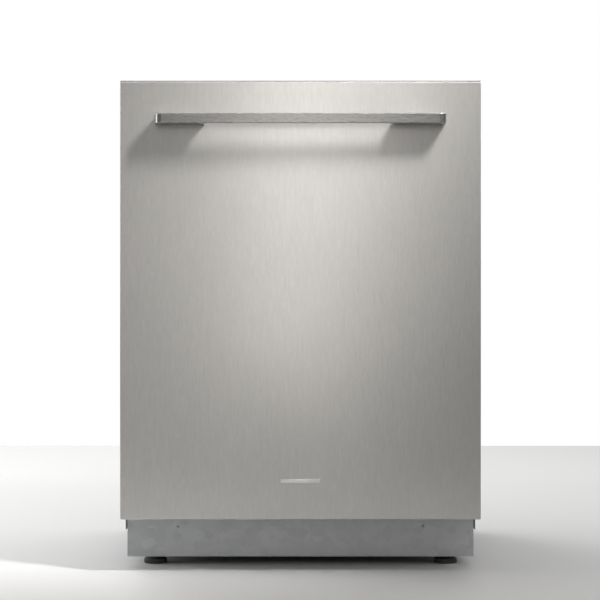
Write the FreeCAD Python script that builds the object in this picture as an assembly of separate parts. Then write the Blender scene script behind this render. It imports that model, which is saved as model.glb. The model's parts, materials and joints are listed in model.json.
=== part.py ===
import FreeCAD, Part
import os

# A built-in dishwasher, in millimetres. X runs to the right, Y to the back and Z up.
# The origin is the middle of the footprint, on the floor.

# ---- overall sizes -------------------------------------------------------------------------
WIDTH = 598.0            # outside of the side panels
DEPTH = 610.0            # front of the handle to the back of the side panels
HEIGHT = 815.0           # top of the control strip
BACK = DEPTH / 2
SHEET = 1.0              # steel sheet of the door, tub and side panels
RUN_GAP = 0.3            # air between sliding faces
BORE_GAP = 0.08          # air between a pin and its bore

# ---- door ----------------------------------------------------------------------------------
HANDLE_REACH = 40.0
PANEL_FACE = -BACK + HANDLE_REACH
PANEL_FOLD = 20.0
PANEL_W = 596.0
PANEL_Z = (90.0, 813.5)
FOLD_R = 2.0
FRAME_HALF = 282.0       # half width of the inner door
FRAME_Y = (PANEL_FACE + PANEL_FOLD + 0.2, -204.2)
FRAME_Z = (96.0, 800.0)
LINER_FACE = -203.0
LINER_TOP = 808.0
HINGE_Y, HINGE_Z = -222.0, 140.0
PIN_R = 5.0
ARM_X = (286.0, 289.0)
BRACKET_X = (292.5, 295.5)
END_CAP = 23.0

HANDLE_HALF = 238.0
HANDLE_Z = (741.0, 757.0)
HANDLE_WALL = 6.0
HANDLE_BEND = 11.0
FOOT_BLOCK = 74.0

BUTTON_R = 6.5
BUTTONS = {"power_button": -235.0, "program_button": -150.0, "start_button": 235.0}

# ---- dispenser in the inner door -----------------------------------------------------------
DISPENSER_X = (-94.0, 94.0)
DISPENSER_Z = (421.0, 559.0)
DISPENSER_FACE = -199.0
CUP_X, CUP_Z = (-80.0, -6.0), (440.0, 540.0)
RINSE_X, RINSE_Z, RINSE_R = 44.0, 500.0, 19.0

# ---- tub -----------------------------------------------------------------------------------
TUB_HALF = 271.0
TUB_Z = (155.0, 795.0)
TUB_Y = (-195.0, 285.0)
TUB_CORNER = 22.0
SILL_Y = -170.0          # front edge of the tub floor, behind the swinging door
SILL_Z = 162.0           # the side flanges start above it
FLANGE = 12.0
LEDGE_TOP = 159.7        # track for the lower rack's wheels

# ---- base ----------------------------------------------------------------------------------
BASE_HALF = 277.0
BASE_Y = (-155.0, 280.0)
BASE_Z = (30.0, 150.0)
WALL = 3.0
FEET = {"foot_front_left": (-250.0, -136.0), "foot_front_right": (250.0, -136.0),
        "foot_rear": (0.0, 255.0)}
FOOT_R, STUD_R, STUD_TOP = 20.0, 5.0, 74.0
SUMP = (60.0, 30.0)
SUMP_R = 84.0
FILTER = (75.0, 30.0)
FILTER_R = 38.0
ARM_HUB = (0.0, 30.0)
SALT = (-165.0, 145.0)
PUMP_Y, PUMP_Z, PUMP_R = 30.0, 106.0, 38.0
DRAIN_X, DRAIN_Z, DRAIN_R = 205.0, 92.0, 10.5
INLET_X, INLET_Z, INLET_R = -205.0, 82.0, 13.2     # three-quarter inch pipe thread
GLAND = (130.0, 120.0)

# ---- racks ---------------------------------------------------------------------------------
WIRE = 3.6
PITCH = 30.0
RACK_HALF = 249.0
LOWER_Y, LOWER_Z, LOWER_RIM = (-168.0, 250.0), 196.0, 322.0
UPPER_Y, UPPER_Z, UPPER_RIM = (-165.0, 248.0), 412.0, 545.0
TRAY_Y, TRAY_Z, TRAY_RIM = (-160.0, 245.0), 690.0, 728.0
WHEEL_R, WHEEL_X, WHEEL_Z = 18.0, (258.0, 266.0), 178.0
WHEEL_Y = {"front": -75.0, "rear": 180.0}
AXLE_R = 3.0
TINE_Y, TINE_Z, TINE_LENGTH = (80.0, 160.0), 206.0, 58.0
RAIL_Y = (-188.0, 240.0)
RAIL_Z = (440.0, 462.0)
TRAY_RAIL_Z = (700.0, 716.0)
SHELF_X, SHELF_Y, SHELF_Z = RACK_HALF - WIRE - 3, (-120.0, 210.0), 498.0
SHELF_HINGE = (SHELF_X - WIRE / 2, SHELF_Z + WIRE / 2)
SHELF_PIN_R = 1.5

# ---- upright pieces between tub and casing ---------------------------------------------------
SIDE_FRONT = -241.0
SIDE_Z = (60.0, 812.0)
HINGE_CUT_Z = 150.0      # the side panels stand back below this, clear of the open door

V = FreeCAD.Vector
AXES = {"x": V(1, 0, 0), "y": V(0, 1, 0), "z": V(0, 0, 1)}


# ---- plain shapes --------------------------------------------------------------------------
def block(x, y, z):
    """A box given by its low and high x, y and z."""
    return Part.makeBox(x[1] - x[0], y[1] - y[0], z[1] - z[0], V(x[0], y[0], z[0]))


def rod(axis, centre, radius, span):
    """A cylinder along one axis. centre holds its two other coordinates, in x, y, z order."""
    place = list(centre)
    place.insert("xyz".index(axis), span[0])
    return Part.makeCylinder(radius, span[1] - span[0], V(*place), AXES[axis])


def tube(axis, centre, radius, bore, span):
    return rod(axis, centre, radius, span).cut(rod(axis, centre, bore, span))


def around(middle, half):
    """The span that reaches half to both sides of middle."""
    return (middle - half, middle + half)


def fuse(shapes):
    return shapes[0].multiFuse(list(shapes[1:])).removeSplitter()


def cut(shape, *tools):
    for tool in tools:
        shape = shape.cut(tool)
    return shape


def runs_along(edge, axis):
    line = edge.Vertexes[-1].Point.sub(edge.Vertexes[0].Point)
    return len(edge.Vertexes) == 2 and abs(line.dot(AXES[axis])) > 0.999 * line.Length > 0


def rounded(shape, radius, axis, where=lambda middle: True):
    """Rounds the straight edges along an axis whose middle passes the test."""
    edges = [e for e in shape.Edges if runs_along(e, axis) and where(e.CenterOfMass)]
    return shape.makeFillet(radius, edges)


def mirrored(shape):
    return shape.mirror(V(0, 0, 0), AXES["x"])


def both_sides(shape):
    return [shape, mirrored(shape)]


def save(node, *solids):
    """Writes one named piece, made of one or more solids that don't overlap."""
    whole = solids[0] if len(solids) == 1 else Part.makeCompound(list(solids))
    whole.exportStep("parts/" + node + ".step")


def grid_plate(x, y, z):
    """A flat welded wire grid: a plate one wire thick with even square windows."""
    spans = [x, y, z]
    thin = min(range(3), key=lambda i: spans[i][1] - spans[i][0])
    flat = [i for i in range(3) if i != thin]
    cells = {}
    for i in flat:
        low, high = spans[i]
        count = max(1, round((high - low - WIRE) / PITCH))
        step = (high - low - WIRE) / count
        cells[i] = [(low + WIRE + n * step, low + (n + 1) * step) for n in range(count)]
    windows = []
    for first in cells[flat[0]]:
        for second in cells[flat[1]]:
            hole = [None] * 3
            hole[flat[0]], hole[flat[1]] = first, second
            hole[thin] = (spans[thin][0] - 1, spans[thin][1] + 1)
            windows.append(block(*hole))
    return block(x, y, z).cut(Part.makeCompound(windows))


def basket(half, y, floor, rim, front_rim):
    """The floor and four walls of a rack, as flat grids that meet face to face."""
    above = floor + WIRE
    inner = (-half + WIRE, half - WIRE)
    return [
        grid_plate((-half, half), y, (floor, above)),
        grid_plate(inner, (y[0], y[0] + WIRE), (above, front_rim)),
        grid_plate(inner, (y[1] - WIRE, y[1]), (above, rim)),
        *both_sides(grid_plate((half - WIRE, half), y, (above, rim))),
    ]


# ---- door ----------------------------------------------------------------------------------
def door_skin():
    half = PANEL_W / 2
    outer = block((-half, half), (PANEL_FACE, PANEL_FACE + PANEL_FOLD), PANEL_Z)
    outer = rounded(outer, FOLD_R, "y")
    front = [e for e in outer.Edges if abs(e.BoundBox.YMax - PANEL_FACE) < 0.01]
    outer = outer.makeFillet(FOLD_R, front)
    inner = block((-half + SHEET, half - SHEET), (PANEL_FACE + SHEET, 0),
                  (PANEL_Z[0] + SHEET, PANEL_Z[1] - SHEET))
    save("door_skin", cut(outer, rounded(inner, FOLD_R / 2, "y")))


def door_frame():
    wall = 2.5
    outer = block(around(0, FRAME_HALF), FRAME_Y, FRAME_Z)
    middle = (FRAME_Z[0] + wall, FRAME_Z[1] - wall)
    inner = block(around(0, FRAME_HALF - wall), (FRAME_Y[0] - 1, FRAME_Y[1] + 1), middle)
    stiffener = block(around(0, wall / 2), (FRAME_Y[0] + 18, FRAME_Y[1]), middle)
    ribs = [stiffener.translated(V(x, 0, 0)) for x in (-150.0, 150.0)]
    save("door_frame", fuse([cut(outer, inner)] + ribs))


def door_liner():
    sheet = block(around(0, FRAME_HALF), (LINER_FACE - SHEET, LINER_FACE), (FRAME_Z[0], LINER_TOP))
    sheet = rounded(sheet, 8.0, "y")
    window = block((DISPENSER_X[0] - 0.5, DISPENSER_X[1] + 0.5), (-250, 0),
                   (DISPENSER_Z[0] - 0.5, DISPENSER_Z[1] + 0.5))
    latch_slot = block(around(0, 17), (-250, 0), (784.0, 797.0))
    save("door_liner", cut(sheet, window, latch_slot))


def control_strip():
    half = PANEL_W / 2 - END_CAP
    low, lip = FRAME_Z[1] + 0.2, PANEL_Z[1] + 0.1
    body = block(around(0, half - 0.1), (FRAME_Y[0], FRAME_Y[1]), (low, HEIGHT))
    hollow = block(around(0, half - 2), (FRAME_Y[0] + 2, FRAME_Y[1] - 2), (low - 1, HEIGHT - 2))
    nose = block(around(0, half - 0.1), (PANEL_FACE + 2.5, FRAME_Y[0]), (lip, HEIGHT))
    middle_y = (FRAME_Y[0] + FRAME_Y[1]) / 2
    holes = [rod("z", (x, middle_y), BUTTON_R + 0.3, (low, HEIGHT + 1)) for x in BUTTONS.values()]
    save("control_strip", cut(fuse([cut(body, hollow), nose]), *holes))
    side = (half + 0.1, PANEL_W / 2)
    cap = fuse([block((side[0], FRAME_HALF), FRAME_Y, (low, HEIGHT)),
                block(side, (PANEL_FACE + 2.5, FRAME_Y[1]), (lip, HEIGHT))])
    cap = rounded(cap, 1.5, "z", lambda m: m.x > PANEL_W / 2 - 1)
    save("strip_end_caps", *both_sides(cap))
    for node, x in BUTTONS.items():
        top = rod("z", (x, middle_y), BUTTON_R, (HEIGHT - 6, HEIGHT - 0.1))
        collar = rod("z", (x, middle_y), BUTTON_R + 2.5, (HEIGHT - 7, HEIGHT - 5))
        save(node, fuse([top, collar]))


def handle():
    y = (-BACK, PANEL_FACE - 0.05)
    outer = rounded(block(around(0, HANDLE_HALF), y, HANDLE_Z), HANDLE_BEND, "z",
                    lambda m: m.y < -BACK + 1)
    inner = block(around(0, HANDLE_HALF - HANDLE_WALL), (-BACK + HANDLE_WALL, 0),
                  (HANDLE_Z[0] - 1, HANDLE_Z[1] + 1))
    inner = rounded(inner, HANDLE_BEND - HANDLE_WALL, "z", lambda m: m.y < PANEL_FACE)
    bar = cut(outer, inner)
    bar = rounded(bar, 1.0, "x", lambda m: m.y < -BACK + 1)
    save("handle_bar", bar)
    high = HANDLE_HALF - HANDLE_WALL - 0.05
    foot = block((high - FOOT_BLOCK, high), (-BACK + HANDLE_WALL + 0.05, PANEL_FACE - 0.05),
                 (HANDLE_Z[0] + 1, HANDLE_Z[1] - 1))
    foot = rounded(foot, HANDLE_BEND - HANDLE_WALL, "z", lambda m: m.y < PANEL_FACE - 5)
    save("handle_feet", *both_sides(foot))


def hinges():
    lever_end = V(0, HINGE_Y + 25, HINGE_Z - 25)
    disc = rod("x", (HINGE_Y, HINGE_Z), 16, ARM_X)
    arm = block(ARM_X, (HINGE_Y - 14, HINGE_Y + 12), (HINGE_Z, 430.0))
    lever = block(ARM_X, (HINGE_Y, HINGE_Y + 36), around(HINGE_Z, 7))
    lever.rotate(V(0, HINGE_Y, HINGE_Z), AXES["x"], -45)
    pin = rod("x", (lever_end.y, lever_end.z), 3, (ARM_X[1], ARM_X[1] + 2.5))
    bosses = [rod("x", (HINGE_Y, z), 8, (FRAME_HALF + 0.05, ARM_X[0])) for z in (240.0, 400.0)]
    whole = fuse([disc, arm, lever, pin] + bosses)
    bore = rod("x", (HINGE_Y, HINGE_Z), PIN_R + BORE_GAP, (ARM_X[0] - 1, ARM_X[1] + 1))
    save("hinge_arms", *both_sides(cut(whole, bore)))
    round_end = rod("x", (HINGE_Y, HINGE_Z), 14, BRACKET_X)
    plate = block(BRACKET_X, (HINGE_Y, -120.0), around(HINGE_Z, 14))
    flange = block((BASE_HALF + 0.05, BRACKET_X[1]), (-154.0, -120.0), (126.0, 129.0))
    pivot = rod("x", (HINGE_Y, HINGE_Z), PIN_R, (ARM_X[0] - 1.5, BRACKET_X[1]))
    save("hinge_brackets", *both_sides(fuse([round_end, plate, flange, pivot])))


def door_springs():
    """A coil spring each side, from the arm's lever back to a lug on the base."""
    x = (ARM_X[0] + ARM_X[1]) / 2 + 3.2
    front, back = V(x, HINGE_Y + 30, HINGE_Z - 30), V(x, -67.0, 100.0)
    along = back.sub(front)
    unit = V(along).normalize()
    coil = Part.makeCylinder(5.5, along.Length - 26, front + unit * 13, unit)
    wire = Part.makeCylinder(1.3, along.Length, front, unit)
    save("door_springs", *both_sides(fuse([coil, wire])))


def dispenser():
    wall = 3.0
    body = block(DISPENSER_X, (-226.0, DISPENSER_FACE), DISPENSER_Z)
    body = rounded(body, 10.0, "y")
    cup = rounded(block(CUP_X, (-226.0 + wall, 0), CUP_Z), 8.0, "y")
    well = rod("y", (RINSE_X, RINSE_Z), RINSE_R + 0.3, (-222.0, 0))
    save("dispenser_body", cut(body, cup, well))
    lid_y = (DISPENSER_FACE + RUN_GAP, DISPENSER_FACE + 2.3)
    lid = block((CUP_X[0] - 4, CUP_X[1] + 4), lid_y, (CUP_Z[0] - 4, CUP_Z[1] + 4))
    save("dispenser_lid", rounded(lid, 8.0, "y"))
    cap = rod("y", (RINSE_X, RINSE_Z), RINSE_R, (-212.0, DISPENSER_FACE - 1))
    grip = block(around(RINSE_X, 3), (DISPENSER_FACE - 1, DISPENSER_FACE + 2),
                 around(RINSE_Z, RINSE_R - 3))
    save("rinse_aid_cap", fuse([cap, grip]))


def door_inside():
    seal = block(around(0, 250), (LINER_FACE + 0.05, LINER_FACE + 4), (98.0, 110.0))
    save("door_bottom_seal", rounded(seal, 1.5, "x", lambda m: m.y > LINER_FACE + 3))
    housing = block(around(0, 36), (-243.0, FRAME_Y[1]), (760.0, 797.0))
    mouth = block(around(0, 15), (-236.0, 0), (785.0, 793.5))
    save("latch_housing", cut(housing, mouth))
    board = block((60.0, 240.0), (-236.0, -234.4), (725.0, 790.0))
    parts = [block(around(x, 9), (-234.4, -228.0), around(758.0, 12)) for x in (90.0, 140.0, 200.0)]
    save("control_board", fuse([board] + parts))


# ---- tub -----------------------------------------------------------------------------------
def arch(half, top, y, radius):
    """A block with rounded top corners that stands on the tub floor's level."""
    shape = block(around(0, half), y, (TUB_Z[0] - 40, top))
    return rounded(shape, radius, "y", lambda m: m.z > top - 1)


def tub():
    inner = arch(TUB_HALF, TUB_Z[1], (TUB_Y[0] - 30, TUB_Y[1] + 30), TUB_CORNER)
    shell = arch(TUB_HALF + SHEET, TUB_Z[1] + SHEET, TUB_Y, TUB_CORNER + SHEET)
    flange = arch(TUB_HALF + FLANGE, TUB_Z[1] + FLANGE, (TUB_Y[0] - SHEET, TUB_Y[0]), 30.0)
    below = block(around(0, 400), (-400, 400), (0, TUB_Z[0]))
    notch = block(around(0, 400), (-400, SILL_Y), (0, SILL_Z))
    wrapper = cut(fuse([shell, flange]), inner, below, notch)
    back = arch(TUB_HALF + SHEET, TUB_Z[1] + SHEET, (TUB_Y[1] + 0.02, TUB_Y[1] + SHEET), 23.0)
    save("tub_shell", wrapper, cut(back, below))
    floor = block(around(0, TUB_HALF - 0.02), (SILL_Y, TUB_Y[1]), (TUB_Z[0], TUB_Z[0] + SHEET))
    skirt = block(around(0, TUB_HALF - 0.02), (SILL_Y, SILL_Y + SHEET), (125.0, TUB_Z[0] + SHEET))
    sump_hole = rod("z", SUMP, SUMP_R - 5, (0, 400))
    salt_hole = rod("z", SALT, 34, (0, 400))
    save("tub_floor", cut(fuse([floor, skirt]), sump_hole, salt_hole))


def gasket():
    """The door seal: two uprights and a top run on the tub's front flange."""
    y = (LINER_FACE + RUN_GAP, TUB_Y[0] - SHEET - 0.02)
    side = (TUB_HALF + 1, TUB_HALF + 9)
    top = (TUB_Z[1] + 1, TUB_Z[1] + 9)
    bar = block(around(0, side[1]), y, top)
    upright = block(side, y, (SILL_Z + 4, top[0]))
    save("tub_gasket", bar, *both_sides(upright))


def feed_pipe():
    """The water duct up the tub's back wall and forward under its roof."""
    up = block(around(0, 16), (TUB_Y[1] - 15, TUB_Y[1] - 0.05), (TUB_Z[0] + 3, 786.0))
    over = block(around(0, 16), (ARM_HUB[1] - 16, TUB_Y[1] - 0.05), (772.0, 786.0))
    hub = rod("z", ARM_HUB, 6, (755.5, 773.0))
    duct = rounded(fuse([up, over]), 4.0, "z", lambda m: m.y < TUB_Y[1] - 5)
    save("feed_pipe", fuse([duct, hub]))


def spray_arm(node, half, width, z, top_bore):
    """A hollow blade with round ends that turns on a pin; the bore is blind at its other end."""
    x, y = ARM_HUB
    blade = block(around(x, half), around(y, width / 2), z)
    blade = rounded(blade, width / 2 - 0.5, "z")
    hub = rod("z", ARM_HUB, 24, (z[0] - 1, z[1] + 1))
    depth = (z[0] + 3, z[1] + 2) if top_bore else (z[0] - 2, z[1] - 3)
    save(node, cut(fuse([blade, hub]), rod("z", ARM_HUB, 6 + BORE_GAP, depth)))


def rack_rails():
    """Fixed runners for both upper racks, and the wheel ledges on the tub floor."""
    wall = (TUB_HALF - 7, TUB_HALF - 0.05)
    upper = block(wall, RAIL_Y, RAIL_Z)
    tray = block(wall, RAIL_Y, TRAY_RAIL_Z)
    ledge = block((WHEEL_X[0] - 3, TUB_HALF - 0.05), (SILL_Y + 2, 240.0),
                  (TUB_Z[0] + SHEET + 0.02, LEDGE_TOP))
    save("rack_rails", *[s for one in (upper, tray, ledge) for s in both_sides(one)])
    middle = block((WHEEL_X[0], wall[0] - RUN_GAP), RAIL_Y, (RAIL_Z[0] + 2, RAIL_Z[1] - 2))
    save("middle_rails", *both_sides(middle))


# ---- base and water parts --------------------------------------------------------------------
def base_tray():
    outer = block(around(0, BASE_HALF), BASE_Y, BASE_Z)
    inner = block(around(0, BASE_HALF - WALL), (BASE_Y[0] + WALL, BASE_Y[1] - WALL),
                  (BASE_Z[0] + WALL, BASE_Z[1] + 1))
    bosses = [rod("z", p, 11, (BASE_Z[0] - 14, STUD_TOP + 6)) for p in FEET.values()]
    bores = [rod("z", p, STUD_R + BORE_GAP, (0, STUD_TOP + 0.5)) for p in FEET.values()]
    lug = block((BASE_HALF - 1, BASE_HALF + 18), (-66.0, -60.0), (88.0, 112.0))
    tray = fuse([cut(outer, inner)] + bosses + both_sides(lug))
    openings = [rod("y", (DRAIN_X, DRAIN_Z), 10.5, (0, 400)),
                rod("y", (INLET_X, INLET_Z), 13, (0, 400)), rod("y", GLAND, 6, (0, 400))]
    save("base_tray", cut(tray, *bores, *openings))


def kick_plate():
    face = block(around(0, 296), (-163.0, -161.5), (14.0, 88.0))
    lip = block(around(0, 296), (-163.0, -156.0), (86.5, 88.0))
    tabs = block((200.0, 220.0), (-161.6, BASE_Y[0] - 0.05), (50.0, 80.0))
    save("kick_plate", fuse([face, lip] + both_sides(tabs)))


def feet():
    for node, place in FEET.items():
        pad = rounded_pad(place)
        stud = rod("z", place, STUD_R, (8.0, STUD_TOP))
        nut = rod("z", place, 9, (8.0, 12.0))
        save(node, fuse([pad, nut, stud]))


def rounded_pad(place):
    pad = rod("z", place, FOOT_R, (0, 9.0))
    rim = [e for e in pad.Edges if e.BoundBox.ZMin > 8.9 and len(e.Vertexes) == 1]
    return pad.makeFillet(2.0, rim)


def sump():
    """The water bowl under the tub floor, with the post that carries the lower spray arm."""
    bowl = rod("z", SUMP, SUMP_R, (80.0, TUB_Z[0] - 0.1))
    hollow = rod("z", SUMP, SUMP_R - WALL, (80.0 + WALL, 400))
    post = rod("z", ARM_HUB, 10, (82.0, 174.0))
    pin = rod("z", ARM_HUB, 6, (173.0, 182.0))
    save("sump", fuse([cut(bowl, hollow), post, pin]))


def filters():
    plate = block((-88.0, 190.0), (-90.0, 150.0), (TUB_Z[0] + SHEET + 0.1, TUB_Z[0] + SHEET + 2))
    plate = rounded(plate, 30.0, "z")
    holes = [rod("z", FILTER, FILTER_R + 0.3, (0, 400)), rod("z", ARM_HUB, 10.4, (0, 400))]
    save("filter_plate", cut(plate, *holes))
    mesh = rod("z", FILTER, FILTER_R, (92.0, 162.0))
    hollow = rod("z", FILTER, FILTER_R - 2, (94.0, 400))
    grip = block(around(FILTER[0], FILTER_R - 1), around(FILTER[1], 3), (152.0, 169.0))
    save("filter_cylinder", fuse([cut(mesh, hollow), grip]))


def pumps():
    near = SUMP[0] - SUMP_R
    case = rod("x", (PUMP_Y, PUMP_Z), PUMP_R, (near - 46, near - 6))
    room = rod("x", (PUMP_Y, PUMP_Z), PUMP_R - WALL, (near - 43, near - 9))
    motor = rod("x", (PUMP_Y, PUMP_Z), 32, (near - 150, near - 46))
    neck = rod("x", (PUMP_Y, PUMP_Z), 16, (near - 7, near - 0.1))
    way = rod("x", (PUMP_Y, PUMP_Z), 13, (near - 12, near + 1))
    stand = block((near - 140, near - 60), around(PUMP_Y, 20), (BASE_Z[0] + WALL + 0.05, 78.0))
    shaft = rod("x", (PUMP_Y, PUMP_Z), 4, (near - 44, near - 16))
    save("circulation_pump", fuse([cut(fuse([case, motor, neck, stand]), room, way), shaft]))
    wheel = rod("x", (PUMP_Y, PUMP_Z), 28, (near - 38, near - 34))
    hub = rod("x", (PUMP_Y, PUMP_Z), 9, (near - 38, near - 18))
    vanes = []
    for n in range(6):
        vane = block((near - 35, near - 20), (PUMP_Y + 7, PUMP_Y + 27), around(PUMP_Z, 1.2))
        vane.rotate(V(0, PUMP_Y, PUMP_Z), AXES["x"], 60 * n)
        vanes.append(vane)
    bore = rod("x", (PUMP_Y, PUMP_Z), 4 + BORE_GAP, (near - 60, near))
    save("pump_impeller", cut(fuse([wheel, hub] + vanes), bore))


def drain_and_inlet():
    near = SUMP[0] + SUMP_R
    motor = rod("x", (SUMP[1], DRAIN_Z), 27, (near + 14, near + 80))
    neck = rod("x", (SUMP[1], DRAIN_Z + 10), 12, (near + 0.1, near + 15))
    stand = block((near + 20, near + 70), around(SUMP[1], 16), (BASE_Z[0] + WALL + 0.05, 70.0))
    pipe = rod("y", (DRAIN_X, DRAIN_Z), 9.5, (SUMP[1] + 10, BASE_Y[1] + 3))
    spigot = rod("y", (DRAIN_X, DRAIN_Z), DRAIN_R, (BASE_Y[1] + 2, BACK - 1))
    bore = rod("y", (DRAIN_X, DRAIN_Z), 8, (SUMP[1] + 40, BACK))
    save("drain_pump", cut(fuse([motor, neck, stand, pipe, spigot]), bore))
    body = block(around(INLET_X, 22), (225.0, 262.0), (60.0, 104.0))
    coil = rod("z", (INLET_X, 243.0), 15, (103.0, 132.0))
    seat = block(around(INLET_X, 15), (230.0, 255.0), (BASE_Z[0] + WALL + 0.05, 61.0))
    neck = rod("y", (INLET_X, INLET_Z), 12, (261.0, BASE_Y[1] + 3))
    thread = rod("y", (INLET_X, INLET_Z), INLET_R, (BASE_Y[1] + 2, BACK - 1))
    way = rod("y", (INLET_X, INLET_Z), 8, (240.0, BACK))
    save("inlet_valve", cut(fuse([body, coil, seat, neck, thread]), way))
    gland = rod("y", GLAND, 12, (BASE_Y[1] + 0.05, BASE_Y[1] + 5))
    sleeve = rod("y", GLAND, 8, (BASE_Y[1] + 4, BASE_Y[1] + 20))
    way = rod("y", GLAND, 4.2, (BASE_Y[1] - 5, BACK))
    save("mains_gland", cut(fuse([gland, sleeve]), way))


def softener():
    tank = block((-262.0, -100.0), (85.0, 215.0), (BASE_Z[0] + WALL + 0.05, 148.0))
    tank = rounded(tank, 14.0, "z")
    neck = rod("z", SALT, 32, (147.0, 163.0))
    way = rod("z", SALT, 27, (60.0, 400.0))
    save("water_softener", cut(fuse([tank, neck]), way))
    cap = rod("z", SALT, 33, (163.0 + RUN_GAP, 169.0))
    plug = rod("z", SALT, 26.5, (156.0, 164.0))
    grip = block(around(SALT[0], 22), around(SALT[1], 3.5), (168.5, 172.5))
    save("salt_cap", fuse([cap, plug, grip]))


# ---- casing ----------------------------------------------------------------------------------
def side_panels():
    sheet = block((WIDTH / 2 - SHEET, WIDTH / 2), (SIDE_FRONT, BACK), SIDE_Z)
    fold = block((WIDTH / 2 - 16, WIDTH / 2), (BACK - SHEET, BACK), SIDE_Z)
    top_fold = block((WIDTH / 2 - 14, WIDTH / 2), (-150.0, BACK), (SIDE_Z[1] - SHEET, SIDE_Z[1]))
    notch = block((0, 400), (-400, SILL_Y + 6), (0, HINGE_CUT_Z))
    right = cut(fuse([sheet, fold, top_fold]), notch)
    save("side_panel_right", right)
    save("side_panel_left", mirrored(right))


def insulation():
    top = block(around(0, 268), (-148.0, TUB_Y[1]), (TUB_Z[1] + SHEET + 1, TUB_Z[1] + 12))
    back = block(around(0, 262), (TUB_Y[1] + SHEET + 0.5, TUB_Y[1] + 12), (170.0, 790.0))
    side = block((TUB_HALF + SHEET + 0.5, TUB_HALF + 10), (-180.0, 280.0), (175.0, 772.0))
    save("insulation_mats", top, back, *both_sides(side))


def frame_rails():
    half = WIDTH / 2 - SHEET - 0.1
    plate = block(around(0, half), (-198.0, -152.0), (HEIGHT - 4.5, HEIGHT - 3))
    lip = block(around(0, half), (-153.5, -152.0), (TUB_Z[1] + SHEET + 1, HEIGHT - 3))
    tab = block((180.0, 222.0), (-198.0, -162.0), (HEIGHT - 3.5, HEIGHT - 1.5))
    rail = fuse([plate, lip] + both_sides(tab))
    holes = [rod("z", (x, -180.0), 2.6, (700, 900)) for x in (-201.0, 201.0)]
    save("front_top_rail", cut(rail, *holes))
    post = block((half - 14, half), (BACK - 6, BACK - SHEET - 0.1), (62.0, 806.0))
    bar = block(around(0, half), (BACK - 6, BACK - SHEET - 0.1), (776.0, 806.0))
    save("rear_frame", fuse([bar] + both_sides(post)))
    tongue = block(around(0, 11), (-222.0, -197.0), (788.5, 791.5))
    stem = block(around(0, 11), (-197.5, TUB_Y[0] - SHEET - 0.05), (788.5, 796.0))
    save("latch_strike", fuse([tongue, stem]))


def air_break():
    box_x = (-(WIDTH / 2) + 4, -(TUB_HALF + 12))
    chamber = rounded(block(box_x, (-60.0, 150.0), (220.0, 620.0)), 12.0, "x")
    save("air_break_chamber", chamber)


# ---- racks -----------------------------------------------------------------------------------
def lower_rack():
    walls = basket(RACK_HALF, LOWER_Y, LOWER_Z, LOWER_RIM, LOWER_RIM - 20)
    hangers = []
    for y in WHEEL_Y.values():
        plate = block((RACK_HALF - 1, RACK_HALF + 4), around(y, 11), (WHEEL_Z - 9, LOWER_Z - 0.05))
        axle = rod("x", (y, WHEEL_Z), AXLE_R, (RACK_HALF + 3, WHEEL_X[1] + 2))
        hangers += both_sides(fuse([plate, axle]))
    pivots = [block(around(x, 3), around(y, 3), (LOWER_Z + WIRE, TINE_Z + 2.5))
              for x in (-222.0, 222.0) for y in TINE_Y]
    sockets = [rod("x", (y, TINE_Z), 2 + BORE_GAP, (-300, 300)) for y in TINE_Y]
    save("lower_rack", *walls, *hangers, *[cut(p, *sockets) for p in pivots])
    for end, y in WHEEL_Y.items():
        wheel = tube("x", (y, WHEEL_Z), WHEEL_R, AXLE_R + BORE_GAP, WHEEL_X)
        groove = tube("x", (y, WHEEL_Z), WHEEL_R - 4, 8, (WHEEL_X[1] - 2, WHEEL_X[1] + 1))
        wheel = wheel.cut(groove)
        save("wheel_" + end + "_right", wheel)
        save("wheel_" + end + "_left", mirrored(wheel))


def fold_tines():
    """Two rows of plate tines, each on a round bar that turns in the rack's pivots."""
    for place, y in zip(("front", "rear"), TINE_Y):
        bar = rod("x", (y, TINE_Z), 2, (-228, 228))
        tines = [rod("z", (x, y), 1.6, (TINE_Z, TINE_Z + TINE_LENGTH))
                 for x in [-210 + PITCH * n for n in range(15)]]
        save("fold_tines_" + place, fuse([bar] + tines))


def upper_rack():
    walls = basket(RACK_HALF, UPPER_Y, UPPER_Z, UPPER_RIM, UPPER_RIM - 15)
    runner = block((RACK_HALF, WHEEL_X[0] - RUN_GAP), (UPPER_Y[0] + 8, UPPER_Y[1] - 8),
                   (RAIL_Z[0] + 4, RAIL_Z[1] - 4))
    hub = fuse([rod("z", ARM_HUB, 22, (UPPER_Z - 4, UPPER_Z - 0.05)),
                rod("z", ARM_HUB, 6, (UPPER_Z - 12.5, UPPER_Z - 3))])
    socket = rod("y", SHELF_HINGE, SHELF_PIN_R + BORE_GAP, (-300, 300))
    eyes = [block((SHELF_HINGE[0] - 4, RACK_HALF - WIRE), around(y, 2), around(SHELF_HINGE[1], 5))
            for y in (SHELF_Y[0] - 3, SHELF_Y[1] + 3)]
    save("upper_rack", *walls, *both_sides(runner), hub, *[cut(eye, socket) for eye in eyes])
    shelf = grid_plate((SHELF_X - 105, SHELF_X), SHELF_Y, (SHELF_Z, SHELF_Z + WIRE))
    pin = rod("y", SHELF_HINGE, SHELF_PIN_R, (SHELF_Y[0] - 5, SHELF_Y[1] + 5))
    save("cup_shelf", fuse([shelf, pin]))


def cutlery_tray():
    walls = basket(RACK_HALF, TRAY_Y, TRAY_Z, TRAY_RIM, TRAY_RIM)
    runner = block((RACK_HALF, TUB_HALF - 7 - RUN_GAP), (TRAY_Y[0] + 6, TRAY_Y[1] - 6),
                   (TRAY_RAIL_Z[0] + 3, TRAY_RAIL_Z[1] - 3))
    save("cutlery_tray", *walls, *both_sides(runner))


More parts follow.
